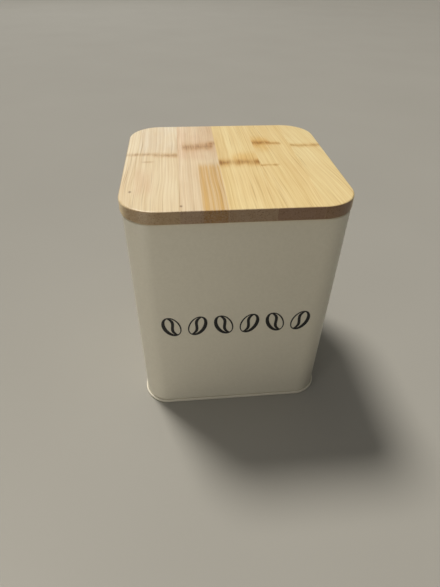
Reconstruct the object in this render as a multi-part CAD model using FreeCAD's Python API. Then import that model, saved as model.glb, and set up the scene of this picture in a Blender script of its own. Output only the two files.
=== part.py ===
import FreeCAD, Part
import math
import os

# Square storage canister: a tinplate can with a double-seamed base, and a two-ply bamboo lid that
# plugs its mouth.
#
# The can is one coated sheet, bent round four corners and joined by a lock seam at the middle of
# the back. Its top edge is rolled inwards into a bead. Its bottom edge is turned out and back up
# into a hook, and the rim of the base pan wraps round that hook and tucks down behind it, as on any
# food can. The lid is edge-glued bamboo strips in two plies: the cover, whose strips run front to
# back, and the plug under it, whose strips run across. A silicone ring with two lips sits in a
# groove round the plug. A row of drawn coffee beans is printed on the front wall.
#
# Frame: millimetres, +Z up, the origin on the standing surface under the can's centre, the printed
# front facing -Y. A section is drawn as (u, z), where u runs inwards from the outer face of the
# can's wall and z is height.

Vector = FreeCAD.Vector
ORIGIN = Vector(0, 0, 0)
UP = Vector(0, 0, 1)
PARTS_FOLDER = "parts"

# Driving dimensions
OVERALL_HEIGHT = 134.0
LID_WIDTH = 110.0
LID_THICKNESS = 6.4
LID_CORNER = 18.0
CAN_WIDTH = 107.4
CAN_CORNER = 13.4
SHEET = 0.3
SHEET_GAP = 0.05  # between layers that are folded together
SEAT_GAP = 0.1  # between the mouth and the lid's cover

# Rolled bead at the mouth
BEAD_RADIUS = 1.1
BEAD_SWEEP = 285.0  # degrees, from the wall over the top and round

# Base pan and the double seam that holds it
SEAM_HEIGHT = 2.0
SEAM_FOOT_ROUND = 0.5
PAN_DEPTH = 3.2  # from the standing surface to the top of the panel's border
PAN_BEND = 0.4  # inside radius at the edge of the panel
PANEL_BORDER = 5.0
PANEL_STEP_RISE = 0.8  # stamped up, which stiffens the panel
PANEL_STEP_RUN = 1.2

# Lock seam down the back
LOCK_WIDTH = 5.0
LOCK_LAYERS = 3  # folded inside the wall
LOCK_GROOVE = 0.5
LOCK_GROOVE_DEPTH = 0.15
LOCK_END_GAP = 0.6

# Bamboo
STRIP_WIDTH = 21.5
FIRST_COVER_STRIP = 6.2
FIRST_PLUG_STRIP = 12.6
COVER_TOP_ROUND = 1.0
COVER_FOOT_ROUND = 0.5
PLUG_WIDTH = 98.6
PLUG_DEPTH = 9.0
PLUG_CHAMFER = 1.0

# Silicone ring and its groove
GROOVE_DROP = 2.0  # from the cover down to the groove
GROOVE_HEIGHT = 3.0
GROOVE_DEPTH = 2.0
RING_INSET = 0.05  # between the ring and the groove's faces
RING_STAND = 0.1  # of the ring's band outside the plug
LIP_CLEARANCE = 0.15  # inside the mouth's bead
LIP_COUNT = 2
LIP_THICKNESS = 0.7
LIP_TIP = 0.35
LIP_RISE = 1.3
LIP_PITCH = 1.9

# Printed beans
INK = 0.1
BEAN_COUNT = 6
BEAN_PITCH = 14.0
BEAN_ROW_HEIGHT = 64.6  # of the row's middle above the standing surface
BEAN_LENGTH = 14.3
BEAN_WIDTH = 9.6
BEAN_TILT = 24.0  # degrees from upright, to one side and the other by turns
BEAN_THIN_STROKE = 0.8
BEAN_THICK_STROKE = 2.0
CREASE_SWING = 1.3
CREASE_WIDTHS = (0.8, 1.5, 1.8, 1.5, 0.8)  # from end to end

# Worked out from the above
CAN_HALF = CAN_WIDTH / 2
LID_HALF = LID_WIDTH / 2
PLUG_HALF = PLUG_WIDTH / 2
COVER_FOOT = OVERALL_HEIGHT - LID_THICKNESS
MOUTH_TOP = COVER_FOOT - SEAT_GAP
MOUTH_INSET = 2 * BEAD_RADIUS  # from the wall's outer face to the bead's inner side
PANEL_INSET = SHEET_GAP + 2 * SHEET + PAN_BEND  # to where the panel's border starts
STEP_INSET = PANEL_INSET + PANEL_BORDER
STEP_TOP = PAN_DEPTH + PANEL_STEP_RISE
PLUG_INSET = CAN_HALF - PLUG_HALF
PLUG_CORNER = CAN_CORNER - PLUG_INSET
PLUG_FOOT = COVER_FOOT - PLUG_DEPTH
GROOVE_TOP = COVER_FOOT - GROOVE_DROP
GROOVE_FOOT = GROOVE_TOP - GROOVE_HEIGHT
LAYER = SHEET + SHEET_GAP
HOOK_INNER = SHEET / 2 + SHEET_GAP  # inside radius of a fold that holds one layer
HOOK_OUTER = HOOK_INNER + SHEET


# Sections and the shapes made from them


def section_point(p):
    """The place of a section's (u, z) at the right-hand side of the can."""
    return Vector(CAN_HALF - p[0], 0, p[1])


def polar(centre, radius, degrees):
    angle = math.radians(degrees)
    return centre[0] + radius * math.cos(angle), centre[1] + radius * math.sin(angle)


def section_face(start, moves):
    """A closed face, from moves ("to", u, z) and ("arc", centre, radius, first angle, last angle)."""
    edges = []
    here = start
    for move in moves:
        if move[0] == "to":
            there = move[1:]
            curve = Part.LineSegment(section_point(here), section_point(there))
        else:
            centre, radius, first, last = move[1:]
            middle = polar(centre, radius, (first + last) / 2)
            there = polar(centre, radius, last)
            curve = Part.Arc(section_point(here), section_point(middle), section_point(there))
        edges.append(curve.toShape())
        here = there
    return Part.Face(Part.Wire(edges))


def swept_round(face):
    """Carries a section round the can's rounded square: four straight runs and four corners."""
    half_run = CAN_HALF - CAN_CORNER
    run = face.translated(Vector(0, -half_run, 0)).extrude(Vector(0, 2 * half_run, 0))
    corner = face.translated(Vector(0, half_run, 0)).revolve(Vector(half_run, half_run, 0), UP, 90)
    pieces = [shape.rotated(ORIGIN, UP, 90 * turn) for turn in range(4) for shape in (run, corner)]
    return pieces[0].fuse(pieces[1:]).removeSplitter()


def is_upright(edge):
    return abs(abs(edge.tangentAt(edge.FirstParameter).z) - 1) < 1e-6


def level_edges(shape, height):
    return [e for e in shape.Edges if max(abs(v.Z - height) for v in e.Vertexes) < 1e-6]


def rounded_block(half, corner, foot, height):
    """A square block with rounded upright edges."""
    block = Part.makeBox(2 * half, 2 * half, height, Vector(-half, -half, foot))
    return block.makeFillet(corner, [e for e in block.Edges if is_upright(e)])


def glued_strips(block, half, first, across):
    """Cuts a block into strips: a part strip first, then whole ones, then what is left at the far edge."""
    reach = 2 * half  # a margin that clears the block on every side
    cuts = [-half + first]
    while cuts[-1] + STRIP_WIDTH < half:
        cuts.append(cuts[-1] + STRIP_WIDTH)
    strips = []
    for low, high in zip([-reach] + cuts, cuts + [reach]):
        knife = Part.makeBox(high - low, 2 * reach, OVERALL_HEIGHT, Vector(low, -reach, 0))
        if across:
            knife = knife.rotated(ORIGIN, UP, 90)
        strips.append(block.common(knife))
    return strips


def export(name, shape):
    """Writes one node, as its solid or its several solids, and prints what it holds."""
    solids = shape.Solids
    out = solids[0] if len(solids) == 1 else Part.makeCompound(solids)
    if not out.isValid():
        raise ValueError(f"{name} is not a valid solid")
    out.exportStep(os.path.join(PARTS_FOLDER, f"{name}.step"))
    print(f"{name}: {len(solids)} solid(s), {out.Volume:.1f} mm3")


# The can


def wall_section():
    """The formed sheet: a hook at the foot, the plain wall, and the bead at the mouth."""
    bead = (BEAD_RADIUS, MOUTH_TOP - BEAD_RADIUS)
    bead_end = 180 - BEAD_SWEEP
    hook = (-HOOK_INNER, LAYER + HOOK_OUTER)
    hook_top = SEAM_HEIGHT - HOOK_OUTER - SHEET_GAP
    return section_face(
        (0, hook[1]),
        [
            ("to", 0, bead[1]),
            ("arc", bead, BEAD_RADIUS, 180, bead_end),
            ("to", *polar(bead, BEAD_RADIUS - SHEET, bead_end)),
            ("arc", bead, BEAD_RADIUS - SHEET, bead_end, 180),
            ("to", SHEET, hook[1]),
            ("arc", hook, HOOK_OUTER, 0, -180),
            ("to", hook[0] - HOOK_OUTER, hook_top),
            ("to", hook[0] - HOOK_INNER, hook_top),
            ("to", hook[0] - HOOK_INNER, hook[1]),
            ("arc", hook, HOOK_INNER, -180, 0),
        ],
    )


def add_lock_seam(shell):
    """Adds the folded layers inside the back wall, and the fine groove that shows outside."""
    foot = PAN_DEPTH + LOCK_END_GAP
    height = MOUTH_TOP - MOUTH_INSET - LOCK_END_GAP - foot
    depth = LOCK_LAYERS * SHEET
    inner_face = CAN_HALF - SHEET - depth
    fold = Part.makeBox(LOCK_WIDTH, depth + SHEET / 2, height, Vector(-LOCK_WIDTH / 2, inner_face, foot))
    inner_edges = [e for e in fold.Edges if is_upright(e) and e.Vertexes[0].Y < inner_face + SHEET]
    fold = fold.makeFillet(SHEET, inner_edges)
    half_groove = LOCK_GROOVE / 2
    corners = [
        Vector(LOCK_WIDTH / 2 - half_groove, CAN_HALF, foot),
        Vector(LOCK_WIDTH / 2, CAN_HALF - LOCK_GROOVE_DEPTH, foot),
        Vector(LOCK_WIDTH / 2 + half_groove, CAN_HALF, foot),
        Vector(LOCK_WIDTH / 2, CAN_HALF + half_groove, foot),
    ]
    groove = Part.Face(Part.makePolygon(corners + corners[:1])).extrude(UP * height)
    return shell.fuse(fold).cut(groove).removeSplitter()


def body_shell():
    return add_lock_seam(swept_round(wall_section()))


def pan_section():
    """The pan round its flat middle: step, border, bend, inner wall, foot, outer wall, tucked-in hook."""
    inner_wall = (SHEET + SHEET_GAP, SHEET + SHEET_GAP + SHEET)
    outer_wall = (-3 * LAYER, -3 * LAYER + SHEET)
    bend_outer = PAN_BEND + SHEET
    bend = (PANEL_INSET, PAN_DEPTH - bend_outer)
    foot_in = (inner_wall[1] - SEAM_FOOT_ROUND, SEAM_FOOT_ROUND)
    foot_out = (outer_wall[0] + SEAM_FOOT_ROUND, SEAM_FOOT_ROUND)
    foot_inner_round = SEAM_FOOT_ROUND - SHEET
    hook = (outer_wall[0] + HOOK_OUTER, SEAM_HEIGHT - HOOK_OUTER)
    hook_foot = LAYER + HOOK_OUTER + SHEET_GAP
    step_end = STEP_INSET + PANEL_STEP_RUN
    return section_face(
        (step_end, STEP_TOP),
        [
            ("to", STEP_INSET, PAN_DEPTH),
            ("to", bend[0], PAN_DEPTH),
            ("arc", bend, bend_outer, 90, 180),
            ("to", inner_wall[0], foot_in[1]),
            ("arc", foot_in, foot_inner_round, 0, -90),
            ("to", foot_out[0], SHEET),
            ("arc", foot_out, foot_inner_round, -90, -180),
            ("to", outer_wall[1], hook[1]),
            ("arc", hook, HOOK_INNER, 180, 0),
            ("to", hook[0] + HOOK_INNER, hook_foot),
            ("to", hook[0] + HOOK_OUTER, hook_foot),
            ("to", hook[0] + HOOK_OUTER, hook[1]),
            ("arc", hook, HOOK_OUTER, 0, 180),
            ("to", outer_wall[0], foot_out[1]),
            ("arc", foot_out, SEAM_FOOT_ROUND, 180, 270),
            ("to", foot_in[0], 0),
            ("arc", foot_in, SEAM_FOOT_ROUND, 270, 360),
            ("to", inner_wall[1], bend[1]),
            ("arc", bend, PAN_BEND, 180, 90),
            ("to", STEP_INSET, PAN_DEPTH - SHEET),
            ("to", step_end, STEP_TOP - SHEET),
            ("to", step_end, STEP_TOP),
        ],
    )


def base_pan():
    inset = STEP_INSET + PANEL_STEP_RUN
    middle = rounded_block(CAN_HALF - inset, CAN_CORNER - inset, STEP_TOP - SHEET, SHEET)
    return swept_round(pan_section()).fuse(middle).removeSplitter()


# The lid


def cover_strips():
    board = rounded_block(LID_HALF, LID_CORNER, COVER_FOOT, LID_THICKNESS)
    board = board.makeFillet(COVER_TOP_ROUND, level_edges(board, OVERALL_HEIGHT))
    board = board.makeFillet(COVER_FOOT_ROUND, level_edges(board, COVER_FOOT))
    return glued_strips(board, LID_HALF, FIRST_COVER_STRIP, across=False)


def plug_strips():
    block = rounded_block(PLUG_HALF, PLUG_CORNER, PLUG_FOOT, PLUG_DEPTH)
    block = block.makeChamfer(PLUG_CHAMFER, level_edges(block, PLUG_FOOT))
    outer, inner = [
        rounded_block(PLUG_HALF + reach, PLUG_CORNER + reach, GROOVE_FOOT, GROOVE_HEIGHT)
        for reach in (GROOVE_DEPTH, -GROOVE_DEPTH)
    ]
    return glued_strips(block.cut(outer.cut(inner)), PLUG_HALF, FIRST_PLUG_STRIP, across=True)


def seal_ring():
    """A flat band in the plug's groove, with lips that lean up and out to the mouth's bead."""
    band_in = PLUG_INSET + GROOVE_DEPTH - RING_INSET
    band_out = PLUG_INSET - RING_STAND
    top = GROOVE_TOP - RING_INSET
    foot = GROOVE_FOOT + RING_INSET
    tip = MOUTH_INSET + LIP_CLEARANCE
    outline = [(band_in, foot), (band_in, top), (band_out, top)]
    for lip in range(LIP_COUNT):
        root = top - RING_STAND - lip * LIP_PITCH
        tip_top = root + LIP_RISE
        outline += [(band_out, root), (tip, tip_top)]
        outline += [(tip, tip_top - LIP_TIP), (band_out, root - LIP_THICKNESS)]
    outline += [(band_out, foot), (band_in, foot)]
    return swept_round(section_face(outline[0], [("to", *p) for p in outline[1:]]))


# The print


def ellipse_face(half_length, half_width, shift):
    """An upright ellipse in the plane y = 0, moved along X."""
    centre = Vector(shift, 0, 0)
    curve = Part.Ellipse(centre + Vector(0, 0, half_length), centre + Vector(half_width, 0, 0), centre)
    return Part.Face(Part.Wire(curve.toShape()))


def crease_face(shift):
    """An S-shaped band down the middle of a bean, widest at its centre."""
    last = len(CREASE_WIDTHS) - 1
    edges = []
    for side, order in ((-1, 1), (1, -1)):
        points = []
        for k, width in enumerate(CREASE_WIDTHS):
            along = 1 - 2 * k / last
            swing = CREASE_SWING * math.sin(math.pi * along)
            points.append(Vector(shift + swing + side * width / 2, 0, along * BEAN_LENGTH / 2))
        curve = Part.BSplineCurve()
        curve.interpolate(points[::order])
        edges.append(curve.toShape())
    ends = [(edges[k].Vertexes[-1].Point, edges[1 - k].Vertexes[0].Point) for k in (0, 1)]
    first_end, second_end = [Part.LineSegment(a, b).toShape() for a, b in ends]
    return Part.Face(Part.Wire([edges[0], first_end, edges[1], second_end]))


def bean_face():
    """One bean: an outline that is thicker down one side, and its crease."""
    shift = (BEAN_THICK_STROKE - BEAN_THIN_STROKE) / 2
    outline = ellipse_face(BEAN_LENGTH / 2, BEAN_WIDTH / 2, 0)
    hollow_half_width = (BEAN_WIDTH - BEAN_THICK_STROKE - BEAN_THIN_STROKE) / 2
    hollow = ellipse_face(BEAN_LENGTH / 2 - BEAN_THIN_STROKE, hollow_half_width, shift)
    return outline.cut(hollow.cut(crease_face(shift)))


def front_print():
    leaning_left = bean_face().rotated(ORIGIN, Vector(0, 1, 0), -BEAN_TILT)
    leaning_right = leaning_left.mirror(ORIGIN, Vector(1, 0, 0))
    beans = []
    for k in range(BEAN_COUNT):
        face = (leaning_left, leaning_right)[k % 2]
        place = Vector((k - (BEAN_COUNT - 1) / 2) * BEAN_PITCH, -CAN_HALF, BEAN_ROW_HEIGHT)
        beans.append(face.translated(place).extrude(Vector(0, -INK, 0)))
    return Part.makeCompound(beans)


def main():
    os.makedirs(PARTS_FOLDER, exist_ok=True)
    export("body_shell", body_shell())
    export("base_pan", base_pan())
    export("front_print", front_print())
    for k, strip in enumerate(cover_strips(), 1):
        export(f"cover_strip_{k}", strip)
    for k, strip in enumerate(plug_strips(), 1):
        export(f"plug_strip_{k}", strip)
    export("seal_ring", seal_ring())


main()
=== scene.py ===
import math

import bmesh
import bpy
from mathutils import Matrix, Vector
from mathutils.geometry import tessellate_polygon


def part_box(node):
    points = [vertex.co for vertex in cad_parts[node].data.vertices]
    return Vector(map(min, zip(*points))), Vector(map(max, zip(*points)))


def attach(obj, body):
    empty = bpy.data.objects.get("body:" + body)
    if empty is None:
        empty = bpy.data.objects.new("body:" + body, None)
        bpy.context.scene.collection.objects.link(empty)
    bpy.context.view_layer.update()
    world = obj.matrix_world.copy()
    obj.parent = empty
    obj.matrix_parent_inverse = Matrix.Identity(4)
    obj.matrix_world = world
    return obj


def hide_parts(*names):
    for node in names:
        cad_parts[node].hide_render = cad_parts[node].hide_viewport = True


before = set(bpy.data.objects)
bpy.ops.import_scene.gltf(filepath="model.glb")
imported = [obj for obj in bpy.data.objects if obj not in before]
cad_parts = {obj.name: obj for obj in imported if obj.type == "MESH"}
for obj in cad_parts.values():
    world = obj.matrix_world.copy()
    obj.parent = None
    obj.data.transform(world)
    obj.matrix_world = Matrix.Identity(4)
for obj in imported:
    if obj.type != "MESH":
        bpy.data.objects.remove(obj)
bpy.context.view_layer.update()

# Lengths are in metres. A section is drawn as (u, z), where u runs inwards from the outline.

MM = 0.001
TOUCH = 0.001 * MM  # how far apart two points may be and still count as one


# ---------------------------------------------------------------- sizes, from the frame and the sheet metal

def half_size(node, axis):
    low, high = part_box(node)
    return (high[axis] - low[axis]) / 2


COVER_NODES = [f"cover_strip_{k}" for k in range(1, 7)]
PLUG_NODES = [f"plug_strip_{k}" for k in range(1, 6)]

# The sheets in a seam lie a gap apart. A fold is a half circle round the edge of another sheet.
LAYER_GAP = 0.05 * MM
SHEET = 0.3 * MM
LAYER = SHEET + LAYER_GAP
FOLD_INNER = SHEET / 2 + LAYER_GAP
FOLD_OUTER = FOLD_INNER + SHEET

PRINT_LOW, PRINT_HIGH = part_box("front_print")
INK = PRINT_HIGH.y - PRINT_LOW.y
CAN_HALF = -PRINT_HIGH.y
CAN_CORNER = 13.4 * MM
MOUTH_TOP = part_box("body_shell")[1].z
BEAD_RADIUS = 1.1 * MM
BEAD_TURN = 285  # degrees
SEAM_HEIGHT = 2 * MM
STEP_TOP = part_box("base_pan")[1].z
STEP_RISE = 0.8 * MM
BORDER_TOP = STEP_TOP - STEP_RISE

# A strip in the middle of each board is as long as the board
COVER_HALF = half_size(COVER_NODES[2], 1)
COVER_CORNER = 18 * MM
COVER_FOOT, COVER_TOP = [corner.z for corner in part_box(COVER_NODES[2])]
PLUG_HALF = half_size(PLUG_NODES[2], 0)
PLUG_CORNER = CAN_CORNER - (CAN_HALF - PLUG_HALF)
PLUG_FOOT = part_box(PLUG_NODES[2])[0].z
GROOVE_TOP = COVER_FOOT - 2 * MM
GROOVE_FOOT = GROOVE_TOP - 3 * MM
GROOVE_DEPTH = 2 * MM
SEAL_HALF = half_size("seal_ring", 0)
ARRIS = 0.06 * MM

RUN_STEPS = 12
CORNER_STEPS = 18
SHARP_ANGLE = math.radians(38)
FLAT = 0.999  # on a flat side, at least this much of the normal is along an axis

# How far the flat walls of formed sheet bow outwards at their middles
WALL_BOW = 0.2 * MM

# Lock seam inside the back wall, clear of the pan and the bead. One side of it shows outside as a groove.
LOCK_HALF = 2.5 * MM
LOCK_DEPTH = 3 * SHEET
LOCK_CLEARANCE = 0.6 * MM
LOCK_FOOT = BORDER_TOP + LOCK_CLEARANCE
LOCK_TOP = MOUTH_TOP - 2 * BEAD_RADIUS - LOCK_CLEARANCE
LOCK_STEP = 0.05 * MM
LOCK_ROUND = 0.4 * MM
LOCK_GROOVE_DEPTH = 0.15 * MM
LOCK_GROOVE_HALF = 0.25 * MM


# ---------------------------------------------------------------- mesh building

def outline(half, corner, back_marks=()):
    """Points and outward normals round a rounded square, with any more marks on its back side."""
    run = half - corner
    path = []
    for side in range(4):
        turn = Matrix.Rotation(side * math.pi / 2, 2)
        marks = [run * (2 * k / RUN_STEPS - 1) for k in range(RUN_STEPS + 1)]
        if side == 1:
            marks = sorted(marks + list(back_marks))
        for s in marks:
            path.append((turn @ Vector((half, s)), turn @ Vector((1, 0))))
        for k in range(1, CORNER_STEPS):
            a = k / CORNER_STEPS * math.pi / 2
            normal = Vector((math.cos(a), math.sin(a)))
            path.append((turn @ (Vector((run, run)) + corner * normal), turn @ normal))
    return path


def arc(centre, radius, first, last, steps):
    """Points round an arc, both ends included, with angles in degrees."""
    angles = [math.radians(first + (last - first) * k / steps) for k in range(steps + 1)]
    return [(centre[0] + radius * math.cos(a), centre[1] + radius * math.sin(a)) for a in angles]


def levels(low, high, count):
    """Heights from low to high, both included, with equal steps between them."""
    return [low + (high - low) * k / count for k in range(count + 1)]


def sweep(path, section, closed=True, push=None):
    """Carries a section round an outline. An open section is capped at both ends.

    push(point, normal, u, z) says how far each of the section's points moves out.
    """
    mesh = bmesh.new()
    rings = []
    for point, normal in path:
        ring = []
        for u, z in section:
            out = push(point, normal, u, z) if push else 0
            p = point + (out - u) * normal
            ring.append(mesh.verts.new((p.x, p.y, z)))
        rings.append(ring)
    count = len(section)
    for here, there in zip(rings, rings[1:] + rings[:1]):
        for k in range(count if closed else count - 1):
            after = (k + 1) % count
            mesh.faces.new((here[k], there[k], there[after], here[after]))
    if not closed:
        mesh.faces.new([ring[0] for ring in rings])
        mesh.faces.new([ring[-1] for ring in reversed(rings)])
    bmesh.ops.recalc_face_normals(mesh, faces=mesh.faces)
    return mesh


def piece(name, mesh, body, nodes, material):
    """Makes a finished object of a mesh, which stands for its CAD nodes and rides on their body."""
    data = bpy.data.meshes.new(name)
    mesh.to_mesh(data)
    mesh.free()
    data.shade_smooth()
    data.set_sharp_from_angle(angle=SHARP_ANGLE)
    data.materials.append(material)
    obj = bpy.data.objects.new(name, data)
    bpy.context.scene.collection.objects.link(obj)
    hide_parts(*nodes)
    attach(obj, body)
    return obj


# ---------------------------------------------------------------- shader building

class Shader:
    """The nodes of a material or a world, round its one surface node."""

    def __init__(self, owner, surface="Principled BSDF", **settings):
        owner.use_nodes = True
        self.owner = owner
        self.tree = owner.node_tree
        self.surface = self.tree.nodes[surface]
        self.set(self.surface, settings)
        self.coordinates = self.add("ShaderNodeTexCoord").outputs
        self.place = self.coordinates["Object"]

    def set(self, node, values):
        """Gives a node's inputs their values or links. Keys are names, with _ for a space, or numbers."""
        for key, value in values.items():
            socket = node.inputs[key if isinstance(key, int) else key.replace("_", " ")]
            if isinstance(value, bpy.types.NodeSocket):
                self.tree.links.new(value, socket)
            elif value is not None:
                if socket.type == "RGBA" and len(value) == 3:
                    value = (*value, 1)
                socket.default_value = value

    def add(self, kind, options=(), **values):
        node = self.tree.nodes.new(kind)
        for key, value in dict(options).items():
            setattr(node, key, value)
        self.set(node, values)
        return node

    def math(self, operation, a, b=None, c=None):
        node = self.add("ShaderNodeMath", {"operation": operation})
        self.set(node, {0: a, 1: b, 2: c})
        return node.outputs[0]

    def vector(self, operation, a, b=None):
        node = self.add("ShaderNodeVectorMath", {"operation": operation})
        self.set(node, {0: a, 1: b})
        return node.outputs["Value" if operation == "DISTANCE" else "Vector"]

    def scaled(self, place, scale, shift):
        return self.vector("ADD", self.vector("MULTIPLY", place, scale), shift)

    def noise(self, scale, detail=2, roughness=0.5, shift=(0, 0, 0), at=None):
        """Noise with its own scale along each axis, in features to the metre."""
        place = self.scaled(at or self.place, scale, shift)
        node = self.add("ShaderNodeTexNoise", Vector=place, Scale=1, Detail=detail, Roughness=roughness)
        return node.outputs["Fac"]

    def cells(self, scale, shift, at):
        """Distance from the middle of the nearest of many scattered cells."""
        place = self.scaled(at, scale, shift)
        return self.add("ShaderNodeTexVoronoi", Vector=place, Scale=1).outputs["Distance"]

    def fade(self, value, low, high, to_low=0.0, to_high=1.0):
        """A smooth step from to_low, at low, to to_high, at high."""
        node = self.add("ShaderNodeMapRange", {"interpolation_type": "SMOOTHSTEP"})
        self.set(node, {0: value, 1: low, 2: high, 3: to_low, 4: to_high})
        return node.outputs[0]

    def mix(self, factor, a, b, blend="MIX"):
        node = self.add("ShaderNodeMix", {"data_type": "RGBA", "blend_type": blend})
        self.set(node, {0: factor, 6: a, 7: b})
        return node.outputs[2]

    def multiply(self, colour, tint):
        return self.mix(1, colour, tint, "MULTIPLY")

    def bump(self, *layers):
        """Stacks layers of (height, distance in metres)."""
        normal = None
        for height, distance in layers:
            node = self.add("ShaderNodeBump", Strength=1, Distance=distance, Height=height, Normal=normal)
            normal = node.outputs["Normal"]
        self.set(self.surface, {"Normal": normal})


# ---------------------------------------------------------------- materials

def powder_coat():
    s = Shader(bpy.data.materials.new("powder_coat"), Specular_IOR_Level=0.5)
    cloud = s.noise((18, 18, 18), 3)
    grain = s.noise((700, 700, 700), 2)
    colour = s.mix(cloud, (0.675, 0.63, 0.505), (0.71, 0.665, 0.54))
    colour = s.mix(s.fade(grain, 0.3, 0.7), s.multiply(colour, (0.97, 0.97, 0.965)), colour)
    smudge = s.noise((40, 40, 25), 5, 0.6)
    s.set(s.surface, {"Base Color": colour, "Roughness": s.fade(smudge, 0.3, 0.75, 0.34, 0.46)})
    s.bump((s.noise((900, 900, 900), 1), 0.02 * MM), (s.noise((3200, 3200, 3200), 1), 0.004 * MM))
    return s.owner


def ink():
    s = Shader(bpy.data.materials.new("screen_ink"), Specular_IOR_Level=0.4)
    mottle = s.noise((900, 900, 900), 3)
    s.set(s.surface, {"Base Color": s.mix(mottle, (0.008, 0.008, 0.008), (0.02, 0.019, 0.018)),
                      "Roughness": s.fade(mottle, 0.3, 0.7, 0.42, 0.55)})
    s.bump((s.noise((2500, 2500, 2500), 2), 0.006 * MM))
    return s.owner


def silicone():
    s = Shader(bpy.data.materials.new("silicone"), Specular_IOR_Level=0.4, Subsurface_Weight=0.2,
               Subsurface_Scale=MM)
    bloom = s.noise((150, 150, 150), 4, 0.6)
    s.set(s.surface, {"Base Color": s.mix(bloom, (0.70, 0.70, 0.67), (0.80, 0.80, 0.77)),
                      "Roughness": s.fade(bloom, 0.3, 0.7, 0.42, 0.6)})
    s.bump((s.noise((2600, 2600, 2600), 2), 0.006 * MM))
    return s.owner


class Look:
    """What one bamboo strip looks like. Places are (across, along) in mm from the lid's middle."""

    def __init__(self, pale, deep, ends, seed, slant=0.0, nodes=(), stains_and_sheen=(), bands=(), knots=()):
        self.pale = pale
        self.deep = deep
        self.ends = ends  # the tint of the end grain
        self.seed = seed  # moves the noise, so that no two strips are alike
        self.slant = slant  # how far the fibres lean across, over the distance along
        self.nodes = nodes  # (along, from across, to across, half height, darkness)
        # Stains in the wood, and painted sheen where the lid would catch light from behind
        self.stains_and_sheen = stains_and_sheen  # (from across, to across, from along, to along, strength, tint)
        self.bands = bands  # (from across, to across, from along, to along, strength)
        self.knots = knots  # (across, along, radius)


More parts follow.
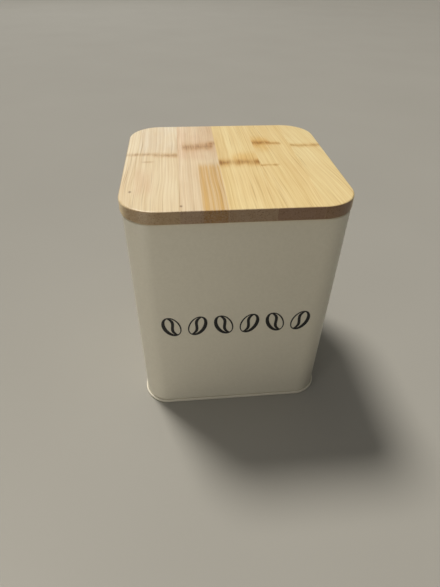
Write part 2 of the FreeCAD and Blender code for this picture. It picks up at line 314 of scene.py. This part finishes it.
class Bamboo:
    """Bamboo whose fibres run along one axis. They show as streaks on its faces and as dots on its ends."""

    BROWN = (0.52, 0.40, 0.26)
    AMBER = (0.80, 0.62, 0.38)
    RUST = (0.87, 0.69, 0.36)

    def __init__(self, name, lengthwise, look):
        self.shader = s = Shader(bpy.data.materials.new(name), Specular_IOR_Level=0.5)
        split = s.add("ShaderNodeSeparateXYZ", Vector=s.place)
        sides = ("X", "Y") if lengthwise == "Y" else ("Y", "X")
        # Places are (across, along, depth): straight ones for stains and painted sheen, and swaying ones
        # for fibres
        self.across, self.along = [split.outputs[side] for side in sides]
        depth = split.outputs["Z"]
        self.straight = s.add("ShaderNodeCombineXYZ", X=self.across, Y=self.along, Z=depth).outputs[0]
        self.shift = (look.seed * 7.3, look.seed * 3.1, look.seed * 1.7)
        sway = s.noise((45, 24, 45), 1, 0.5, self.shift, at=self.straight)
        sway = s.math("MULTIPLY_ADD", sway, 2.4 * MM, s.math("MULTIPLY", self.along, look.slant))
        wandering = s.math("ADD", self.across, sway)
        self.place = s.add("ShaderNodeCombineXYZ", X=wandering, Y=self.along, Z=depth).outputs[0]
        self.fibres(look)
        for stain_and_sheen in look.stains_and_sheen:
            self.stain_and_sheen(*stain_and_sheen)
        for band in look.bands:
            self.band(*band)
        for node in look.nodes:
            self.node(*node)
        for knot in look.knots:
            self.knot(*knot)
        self.end_grain(lengthwise, look.ends)
        roughness = s.fade(self.streak, 0.2, 0.8, 0.30, 0.44)
        s.set(s.surface, {"Base Color": self.colour, "Roughness": roughness})
        s.bump((self.relief, 0.03 * MM), (self.fine, 0.012 * MM))

    def noise(self, across, along, detail=2, roughness=0.5):
        """Noise with so many features to the metre across and along the fibres."""
        return self.shader.noise((across, along, across), detail, roughness, self.shift, at=self.place)

    def tint(self, amount, tint):
        s = self.shader
        self.colour = s.mix(amount, self.colour, s.multiply(self.colour, tint))

    def all_of(self, *values):
        product = values[0]
        for value in values[1:]:
            product = self.shader.math("MULTIPLY", product, value)
        return product

    def between(self, value, low, high, ease):
        s = self.shader
        rise = s.fade(value, (low - ease) * MM, (low + ease) * MM)
        fall = s.fade(value, (high - ease) * MM, (high + ease) * MM, 1, 0)
        return self.all_of(rise, fall)

    def fibres(self, look):
        """The tone of the strip, its streaks, and its bundles, which are long thin cells."""
        s = self.shader
        self.streak = self.noise(1250, 9, 3, 0.65)
        self.fine = self.noise(4200, 55, 2, 0.6)
        bundle = s.cells((1100, 22, 1100), self.shift, at=self.place)
        self.bundle = s.fade(bundle, 0.08, 0.40, 1, 0)
        crowd = s.fade(self.noise(120, 5), 0.38, 0.66, 0.10, 0.52)
        self.colour = s.mix(s.fade(self.noise(240, 4), 0.30, 0.72), look.pale, look.deep)
        self.tint(s.fade(self.streak, 0.30, 0.72), (0.86, 0.79, 0.69))
        self.tint(s.fade(self.noise(60, 25, 3), 0.35, 0.75, 0, 0.6), (0.94, 0.88, 0.82))
        self.tint(s.fade(self.fine, 0.35, 0.8, 0, 0.5), (0.84, 0.76, 0.62))
        self.tint(self.all_of(self.bundle, crowd), self.BROWN)
        self.relief = self.streak

    def stain_and_sheen(self, low, high, near, far, strength, tint):
        """A soft patch of another tone, for the strips' stains and for the painted sheen on the back of the
        lid.
        """
        s = self.shader
        mottle = s.fade(self.noise(190, 60, 3, 0.6), 0.30, 0.62, 0.35, 1)
        across, along = self.between(self.across, low, high, 2), self.between(self.along, near, far, 5)
        self.tint(self.all_of(across, along, mottle, strength), tint)

    def band(self, low, high, near, far, strength):
        """A stretch of darker streaks with clean sides."""
        s = self.shader
        lines = s.fade(self.noise(1100, 4, 2, 0.6), 0.40, 0.58, 0.45, 1)
        across, along = self.between(self.across, low, high, 0.6), self.between(self.along, near, far, 5)
        self.tint(self.all_of(across, along, lines, strength), self.RUST)

    def node(self, at, low, high, half_height, darkness):
        """Where the cane had a joint: a ragged row of short dashes in a softer halo of colour, and a broken
        line.
        """
        s = self.shader
        height = half_height * MM
        reach = 2.6 * height
        waver = s.math("MULTIPLY_ADD", self.noise(110, 2, 1), 3 * MM, (-1.5 - at) * MM)
        off = s.math("ABSOLUTE", s.math("ADD", self.along, waver))
        ragged = s.math("MULTIPLY_ADD", self.noise(850, 4, 2, 0.7), -reach, off)
        inside = self.between(self.across, low, high, 1.5)
        patchy = s.fade(self.noise(230, 60, 2), 0.34, 0.60, 0.5, 1)
        broken = s.fade(self.noise(1500, 90, 2, 0.7), 0.36, 0.60, 0.35, 1)
        halo = self.all_of(s.fade(off, 0, reach, 1, 0), inside, patchy)
        dashes = s.fade(ragged, -1.2 * height, 0.1 * height, 1, 0)
        dashes = self.all_of(dashes, inside, patchy, broken)
        line = self.all_of(s.fade(off, 0.1 * MM, 0.5 * MM, 1, 0), inside, patchy, broken)
        self.tint(s.math("MULTIPLY", halo, 0.8 * darkness), self.AMBER)
        self.tint(s.math("MULTIPLY", dashes, 0.75 * darkness), self.BROWN)
        self.tint(s.math("MULTIPLY", line, 0.35 * darkness), self.BROWN)
        self.relief = s.math("ADD", self.relief, s.math("MULTIPLY", line, -0.7))

    def knot(self, across, along, radius):
        """A small dark spot, a little longer than it is wide, with a ragged edge."""
        s = self.shader
        squash = 0.7
        size = radius * MM
        near = s.vector("MULTIPLY", self.straight, (1, squash, 0))
        near = s.vector("DISTANCE", near, (across * MM, squash * along * MM, 0))
        near = s.math("MULTIPLY_ADD", s.noise((900, 900, 900), 2), 0.6 * size, near)
        spot = s.fade(near, 0.4 * size, 1.5 * size, 1, 0)
        self.colour = s.mix(s.math("MULTIPLY", spot, 0.8), self.colour, (0.20, 0.10, 0.04))
        self.relief = s.math("ADD", self.relief, s.math("MULTIPLY", spot, -1.2))

    def end_grain(self, lengthwise, tint):
        """End grain soaks up more lacquer, so it is darker, and the bundles are dots in it."""
        s = self.shader
        normal = s.add("ShaderNodeSeparateXYZ", Vector=s.coordinates["Normal"])
        facing = s.fade(s.math("ABSOLUTE", normal.outputs[lengthwise]), 0.4, 0.72)
        dark = s.multiply(self.colour, tint)
        dots = s.multiply(dark, (0.5, 0.42, 0.34))
        dark = s.mix(s.math("MULTIPLY", self.bundle, 0.5), dark, dots)
        self.colour = s.mix(facing, self.colour, dark)


# ---------------------------------------------------------------- the can

def wall_push(point, normal, u, z):
    """How far the wall stands out of its plain shape: its bow, and at the back its lock seam."""
    foot, top = SEAM_HEIGHT, MOUTH_TOP - BEAD_RADIUS
    if not foot < z < top or not -TOUCH < u < SHEET + TOUCH:
        return 0
    run = CAN_HALF - CAN_CORNER
    along = abs(point.x if abs(normal.y) > abs(normal.x) else point.y)
    bow = WALL_BOW * (1 - min(1, along / run) ** 2) ** 2
    bow *= math.sin(math.pi * (z - foot) / (top - foot)) ** 0.6
    if normal.y < FLAT or not LOCK_FOOT - TOUCH < z < LOCK_TOP + TOUCH:
        return bow
    if u < SHEET / 2:
        in_groove = abs(point.x - LOCK_HALF) < TOUCH
        return bow - LOCK_GROOVE_DEPTH if in_groove else bow
    inside = LOCK_HALF - abs(point.x)
    if inside < -TOUCH:
        return bow
    flank = min(1, (inside + LOCK_STEP) / LOCK_ROUND)
    return bow - LOCK_DEPTH * (1 - (1 - flank) ** 2) ** 0.5


def wall_section():
    """The sheet's outline: up the outside, round the bead, down the inside, and round the foot's hook."""
    bead = (BEAD_RADIUS, MOUTH_TOP - BEAD_RADIUS)
    bead_end = 180 - BEAD_TURN
    hook = (-FOLD_INNER, LAYER + FOLD_OUTER)
    hook_top = SEAM_HEIGHT - FOLD_OUTER - LAYER_GAP
    marks = levels(SEAM_HEIGHT, LOCK_FOOT - LOCK_STEP, 2)
    marks += levels(LOCK_FOOT, LOCK_TOP, 14)
    marks += levels(LOCK_TOP + LOCK_STEP, bead[1] - 2 * LOCK_STEP, 2)
    return (
        [(0, z) for z in marks]
        + arc(bead, BEAD_RADIUS, 180, bead_end, 26)
        + arc(bead, BEAD_RADIUS - SHEET, bead_end, 180, 20)
        + [(SHEET, z) for z in reversed(marks)]
        + arc(hook, FOLD_OUTER, 0, -180, 10)
        + [(hook[0] - FOLD_OUTER, hook_top), (hook[0] - FOLD_INNER, hook_top)]
        + arc(hook, FOLD_INNER, -180, 0, 8)
    )


def can_wall(material):
    """The wall, with more marks across its back where the lock seam's groove and its two flanks are."""
    groove = [-LOCK_HALF - LOCK_GROOVE_HALF, -LOCK_HALF, -LOCK_HALF + LOCK_GROOVE_HALF]
    flank = [LOCK_HALF + d * MM for d in (-0.4, -0.2, -0.1, 0.03)]
    marks = groove + flank + [-s for s in flank] + [LOCK_HALF]
    path = outline(CAN_HALF, CAN_CORNER, marks)
    mesh = sweep(path, wall_section(), push=wall_push)
    return piece("can_wall", mesh, "canister", ["body_shell"], material)


def can_base(material):
    """The pan: its panel, the wall down to its foot, and the rim that wraps round the can's hook."""
    inner_wall = (LAYER, LAYER + SHEET)
    outer_wall = (-3 * LAYER, -3 * LAYER + SHEET)
    foot_round = 0.5 * MM
    bend_inner = 0.4 * MM
    bend_outer = bend_inner + SHEET
    bend = (inner_wall[0] + bend_outer, BORDER_TOP - bend_outer)
    step = (bend[0] + 5 * MM, BORDER_TOP + STEP_RISE / 2)
    step_ease = 0.35 * MM
    step_run = 1.2 * MM
    # (u, share of the rise) up the step, which is eased at both its ends
    ramp = [
        (step[0] - 2 * step_ease, 0),
        (step[0] + step_ease / 2, 0.06),
        (step[0] + step_run / 2, 0.5),
        (step[0] + step_run - step_ease / 2, 0.94),
        (step[0] + step_run + 2 * step_ease, 1),
    ]
    panel = [(u, BORDER_TOP + rise * STEP_RISE) for u, rise in ramp]
    foot_in = (inner_wall[1] - foot_round, foot_round)
    foot_out = (outer_wall[0] + foot_round, foot_round)
    hook = (outer_wall[0] + FOLD_OUTER, SEAM_HEIGHT - FOLD_OUTER)
    hook_foot = LAYER + FOLD_OUTER + LAYER_GAP
    section = (
        panel[::-1]
        + arc(bend, bend_outer, 90, 180, 8)
        + arc(foot_in, foot_round - SHEET, 0, -90, 5)
        + arc(foot_out, foot_round - SHEET, -90, -180, 5)
        + arc(hook, FOLD_INNER, 180, 0, 8)
        + [(hook[0] + FOLD_INNER, hook_foot), (hook[0] + FOLD_OUTER, hook_foot)]
        + arc(hook, FOLD_OUTER, 0, 180, 12)
        + arc(foot_out, foot_round, 180, 270, 8)
        + arc(foot_in, foot_round, 270, 360, 8)
        + arc(bend, bend_inner, 180, 90, 6)
        + [(u, z - SHEET) for u, z in panel]
    )
    mesh = sweep(outline(CAN_HALF, CAN_CORNER), section, closed=False)
    return piece("can_base", mesh, "canister", ["base_pan"], material)


# ---------------------------------------------------------------- the print

BEAN_COUNT = 6
BEAN_PITCH = 14 * MM
BEAN_HALF_LENGTH = 7.15 * MM
BEAN_HALF_WIDTH = 4.8 * MM
BEAN_TILT = math.radians(24)
BEAN_THIN = 0.8 * MM
BEAN_THICK = 2 * MM
CREASE_SWING = 1.3 * MM
CREASE_HALF = 0.9 * MM
CREASE_END = 0.4 * MM


def bean_loops():
    """A bean's outer edge and the edges of its two hollows, either side of the crease, as (x, z)."""
    shift = (BEAN_THICK - BEAN_THIN) / 2
    half_long = BEAN_HALF_LENGTH - BEAN_THIN
    half_wide = BEAN_HALF_WIDTH - (BEAN_THICK + BEAN_THIN) / 2
    rim_steps = 72
    turns = [2 * math.pi * k / rim_steps for k in range(rim_steps)]
    loops = [[(BEAN_HALF_WIDTH * math.cos(a), BEAN_HALF_LENGTH * math.sin(a)) for a in turns]]
    steps = 40
    for side in (-1, 1):
        edge = []
        for k in range(steps + 1):
            t = 1 - 2 * k / steps
            half = CREASE_END + (CREASE_HALF - CREASE_END) * math.cos(t * math.pi / 2) ** 0.8
            x, z = CREASE_SWING * math.sin(math.pi * t) + side * half, t * BEAN_HALF_LENGTH
            if (x / half_wide) ** 2 + (z / half_long) ** 2 < 1:
                edge.append((x, z))
        first, last = [math.atan2(p[1] / half_long, p[0] / half_wide) for p in (edge[0], edge[-1])]
        if side < 0:
            last += 2 * math.pi
        bow = [last + (first - last) * k / steps for k in range(1, steps)]
        loops.append([(x + shift, z) for x, z in edge]
                     + [(shift + half_wide * math.cos(a), half_long * math.sin(a)) for a in bow])
    return loops


def add_bean(mesh, loops, x0, z0, mirrored):
    """Lays one bean on the front wall and gives it its thickness of ink."""
    turn = Matrix.Rotation(BEAN_TILT, 2)
    placed = []
    for loop in loops:
        points = [turn @ Vector(p) for p in loop]
        placed.append([Vector((x0 - p.x if mirrored else x0 + p.x, z0 + p.y)) for p in points])
    flat = [p for loop in placed for p in loop]
    layers = []
    # The ink's face, and its back, which lies just inside the coat
    for depth in (INK, -LAYER_GAP / 2):
        layers.append([])
        for p in flat:
            bow = wall_push(Vector((p.x, -CAN_HALF)), Vector((0, -1)), 0, p.y)
            layers[-1].append(mesh.verts.new((p.x, -CAN_HALF - bow - depth, p.y)))
    outer, inner = layers
    for a, b, c in tessellate_polygon([[Vector((p.x, p.y, 0)) for p in loop] for loop in placed]):
        mesh.faces.new((outer[a], outer[b], outer[c]))
        mesh.faces.new((inner[c], inner[b], inner[a]))
    start = 0
    for loop in placed:
        for k in range(len(loop)):
            a, b = start + k, start + (k + 1) % len(loop)
            mesh.faces.new((outer[a], outer[b], inner[b], inner[a]))
        start += len(loop)


def bean_row(material):
    mesh = bmesh.new()
    loops = bean_loops()
    middle = (PRINT_LOW.z + PRINT_HIGH.z) / 2
    for k in range(BEAN_COUNT):
        add_bean(mesh, loops, (k - (BEAN_COUNT - 1) / 2) * BEAN_PITCH, middle, k % 2 == 1)
    bmesh.ops.recalc_face_normals(mesh, faces=mesh.faces)
    return piece("bean_print", mesh, "canister", ["front_print"], material)


# ---------------------------------------------------------------- the lid

def cut_strip(board, axis, low, high):
    """A copy of the board between two planes across an axis, closed where it is cut."""
    mesh = board.copy()
    for at, sign in ((low, -1), (high, 1)):
        normal = Vector((0, 0, 0))
        normal[axis] = sign
        point = Vector((0, 0, 0))
        point[axis] = at
        cut = bmesh.ops.bisect_plane(
            mesh,
            geom=mesh.verts[:] + mesh.edges[:] + mesh.faces[:],
            plane_co=point,
            plane_no=normal,
            clear_outer=True,
        )
        edges = [part for part in cut["geom_cut"] if isinstance(part, bmesh.types.BMEdge)]
        if edges:
            bmesh.ops.contextual_create(mesh, geom=edges)
    bmesh.ops.recalc_face_normals(mesh, faces=mesh.faces)
    return mesh


def soften(obj):
    """Takes the edge off a strip's cut sides, and shades its flats flat."""
    bevel = obj.modifiers.new("arris", "BEVEL")
    bevel.width = ARRIS
    bevel.segments = 2
    bevel.limit_method = "ANGLE"
    bevel.angle_limit = SHARP_ANGLE
    bevel.harden_normals = True
    obj.modifiers.new("normals", "WEIGHTED_NORMAL").keep_sharp = True


def cover_board():
    top_round = 1 * MM
    foot_round = 0.5 * MM
    section = (
        arc((top_round, COVER_TOP - top_round), top_round, 90, 180, 8)
        + arc((foot_round, COVER_FOOT + foot_round), foot_round, 180, 270, 6)
    )
    return sweep(outline(COVER_HALF, COVER_CORNER), section, closed=False)


def plug_board():
    chamfer = 1 * MM
    section = [
        (0, COVER_FOOT),
        (0, GROOVE_TOP),
        (GROOVE_DEPTH, GROOVE_TOP),
        (GROOVE_DEPTH, GROOVE_FOOT),
        (0, GROOVE_FOOT),
        (0, PLUG_FOOT + chamfer),
        (chamfer, PLUG_FOOT),
    ]
    return sweep(outline(PLUG_HALF, PLUG_CORNER), section, closed=False)


def lid_strips(board, nodes, lengthwise, looks):
    """Cuts a board into strips that run along one axis, at the sides of their CAD nodes."""
    across = 0 if lengthwise == "Y" else 1
    for node, look in zip(nodes, looks):
        low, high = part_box(node)
        material = Bamboo(f"bamboo_{node}", lengthwise, look).shader.owner
        strip = cut_strip(board, across, low[across], high[across])
        obj = piece(node.replace("_strip", "_board"), strip, "lid", [node], material)
        soften(obj)
    board.free()


def seal(material):
    """The ring: a flat band in the plug's groove, and two lips with round tips that lean up and out."""
    lip = 0.7 * MM
    lip_pitch = 1.9 * MM
    rise = 1.3 * MM
    tip_round = 0.17 * MM
    proud = 0.1 * MM
    band_out = PLUG_HALF + proud
    band_in = PLUG_HALF - GROOVE_DEPTH + LAYER_GAP
    foot = GROOVE_FOOT + LAYER_GAP
    top = GROOVE_TOP - LAYER_GAP
    profile = [(band_in, foot), (band_in, top), (band_out, top)]
    for k in range(2):
        root = top - proud - k * lip_pitch
        tip = (SEAL_HALF - tip_round, root + rise - tip_round)
        profile += [(band_out, root)]
        profile += arc(tip, tip_round, 90, -30, 6)
        profile += [(band_out, root - lip)]
    profile += [(band_out, foot)]
    section = [(CAN_HALF - x, z) for x, z in profile]
    mesh = sweep(outline(CAN_HALF, CAN_CORNER), section)
    return piece("seal", mesh, "lid", ["seal_ring"], material)


# The pale and deep tones of a strip, and the tint of its end grain
PINK = ((0.88, 0.75, 0.50), (0.83, 0.69, 0.44), (0.48, 0.42, 0.38))
ROSE = ((0.87, 0.72, 0.49), (0.80, 0.65, 0.43), (0.44, 0.39, 0.40))
STRAW = ((0.94, 0.775, 0.42), (0.88, 0.70, 0.35), (0.37, 0.325, 0.40))
WHEAT = ((0.94, 0.775, 0.42), (0.88, 0.70, 0.35), (0.30, 0.235, 0.29))
LEMON = ((0.94, 0.80, 0.45), (0.90, 0.74, 0.39), (0.30, 0.23, 0.25))

# Tints of stains, and of the painted sheen on the back of the lid
BLUSH = (0.95, 0.86, 0.83)
# A cooler, paler tint that paints sheen, light caught on the back of the lid, into the colour
PAINTED_SHEEN = (0.98, 1.01, 1.13)
HONEY = (0.90, 0.74, 0.48)

COVER_LOOKS = [
    Look(*PINK, seed=1.0, nodes=[(9.5, -60, -47, 1.6, 0.8)], knots=[(-49.8, -35, 0.9)]),
    Look(*PINK, seed=2.0,
         nodes=[(9.5, -52, -38, 1.6, 0.6), (8, -40, -27, 2.2, 1.0), (-0.8, -46, -40, 0.9, 0.5)],
         # The cool pale patch over the back of this strip is painted sheen
         stains_and_sheen=[(-49, -40, -38, -10, 0.7, BLUSH), (-60, -20, 12, 60, 0.8, PAINTED_SHEEN)]),
    Look(*ROSE, seed=3.0, nodes=[(19.5, -25, -7, 4.4, 0.9), (24, -9, -5, 2.6, 0.9)],
         stains_and_sheen=[(-40, 0, 2, 60, 0.8, BLUSH)], bands=[(-17, -6.2, -60, -6, 1.0)],
         knots=[(-26.6, -50.2, 0.8)]),
    Look(*STRAW, seed=4.0, nodes=[(-4, -7, 17, 3.4, 1.2)], stains_and_sheen=[(2, 17, -4, 9, 0.7, HONEY)]),
    Look(*WHEAT, seed=5.0, slant=0.06, stains_and_sheen=[(16, 25, 12, 33, 0.9, HONEY)],
         nodes=[(24, 15, 26, 2.6, 1.0), (22.5, 24, 32, 1.6, 0.8), (-8, 14, 25, 1.0, 0.7)]),
    Look(*LEMON, seed=6.0, slant=0.12, nodes=[(19, 36, 60, 2.0, 0.7)]),
]
PLUG_LOOKS = [
    Look(*STRAW, seed=11.0, nodes=[(-18, -60, 60, 2.0, 0.9)]),
    Look(*PINK, seed=12.0, nodes=[(24, -60, 60, 2.2, 0.9)]),
    Look(*LEMON, seed=13.0, nodes=[(-36, -60, 60, 1.8, 1.0)]),
    Look(*STRAW, seed=14.0, nodes=[(8, -60, 60, 2.6, 1.0)]),
    Look(*PINK, seed=15.0, nodes=[(-5, -60, 60, 2.0, 0.8)]),
]


# ---------------------------------------------------------------- floor, lights and camera

FLOOR_HALF = 12
CAN_MIDDLE = Vector((0, 0, 0.07))
SUNNY = (1.0, 0.97, 0.93)
PLAIN = (1.0, 0.98, 0.95)
COOL = (0.90, 0.95, 1.0)


def light(kind, name, place, power, colour, **settings):
    """A lamp that points at the middle of the can."""
    data = bpy.data.lights.new(name, kind)
    data.energy = power
    data.color = colour
    for key, value in settings.items():
        setattr(data, key, value)
    obj = bpy.data.objects.new(name, data)
    obj.location = place
    obj.rotation_euler = (CAN_MIDDLE - obj.location).to_track_quat("-Z", "Y").to_euler()
    bpy.context.scene.collection.objects.link(obj)


def ground():
    mesh = bmesh.new()
    bmesh.ops.create_grid(mesh, x_segments=8, y_segments=8, size=FLOOR_HALF)
    data = bpy.data.meshes.new("floor")
    mesh.to_mesh(data)
    mesh.free()
    s = Shader(bpy.data.materials.new("floor"), Roughness=0.9, Specular_IOR_Level=0.2)
    colour = s.mix(s.noise((6, 6, 6), 2), (0.33, 0.315, 0.275), (0.355, 0.34, 0.298))
    s.set(s.surface, {"Base Color": colour})
    data.materials.append(s.owner)
    floor = bpy.data.objects.new("floor", data)
    bpy.context.scene.collection.objects.link(floor)


def studio():
    """A dim room that is palest low down, a soft key from behind and the left, and faint fills."""
    world = bpy.data.worlds.new("studio")
    bpy.context.scene.world = world
    s = Shader(world, "Background", Color=(1.0, 0.98, 0.94))
    height = s.add("ShaderNodeSeparateXYZ", Vector=s.coordinates["Generated"]).outputs["Z"]
    s.set(s.surface, {"Strength": s.fade(height, 0, 0.6, 0.16, 0.04)})
    light("SUN", "key", (-0.31, 0.46, 1.07), 2.93, SUNNY, angle=math.radians(14))
    light("AREA", "ceiling", (0, -0.2, 2.1), 7, PLAIN, shape="DISK", size=1.6)
    light("AREA", "window", (-0.5, 2.3, 1.0), 3.5, COOL, shape="RECTANGLE", size=1.2, size_y=0.7)
    light("AREA", "left_fill", (-0.26, -0.30, 0.08), 0.265, SUNNY, shape="DISK", size=0.12)
    light("AREA", "right_fill", (0.5, -0.1, 0.14), 0.05, COOL, shape="DISK", size=0.16)


def camera():
    """Stands in front, a little to the left, and looks steeply down."""
    place = (-0.02588, -0.21427, 0.22077)
    yaw, pitch, roll = [math.radians(angle) for angle in (5.91, 39.77, -0.97)]
    forward = Vector((math.sin(yaw) * math.cos(pitch), math.cos(yaw) * math.cos(pitch), -math.sin(pitch)))
    right = Vector((math.cos(yaw), -math.sin(yaw), 0))
    up = right.cross(forward)
    level = Matrix((right, up, -forward)).transposed()
    data = bpy.data.cameras.new("camera")
    data.lens = 25.49
    data.sensor_width = 36
    data.clip_start = 0.01
    obj = bpy.data.objects.new("camera", data)
    turned = level @ Matrix.Rotation(-roll, 3, "Z")
    obj.matrix_world = Matrix.Translation(place) @ turned.to_4x4()
    bpy.context.scene.collection.objects.link(obj)
    bpy.context.scene.camera = obj


def main():
    coat = powder_coat()
    can_wall(coat)
    can_base(coat)
    bean_row(ink())
    lid_strips(cover_board(), COVER_NODES, "Y", COVER_LOOKS)
    lid_strips(plug_board(), PLUG_NODES, "X", PLUG_LOOKS)
    seal(silicone())
    ground()
    studio()
    camera()
    bpy.context.scene.view_settings.view_transform = "Standard"


main()
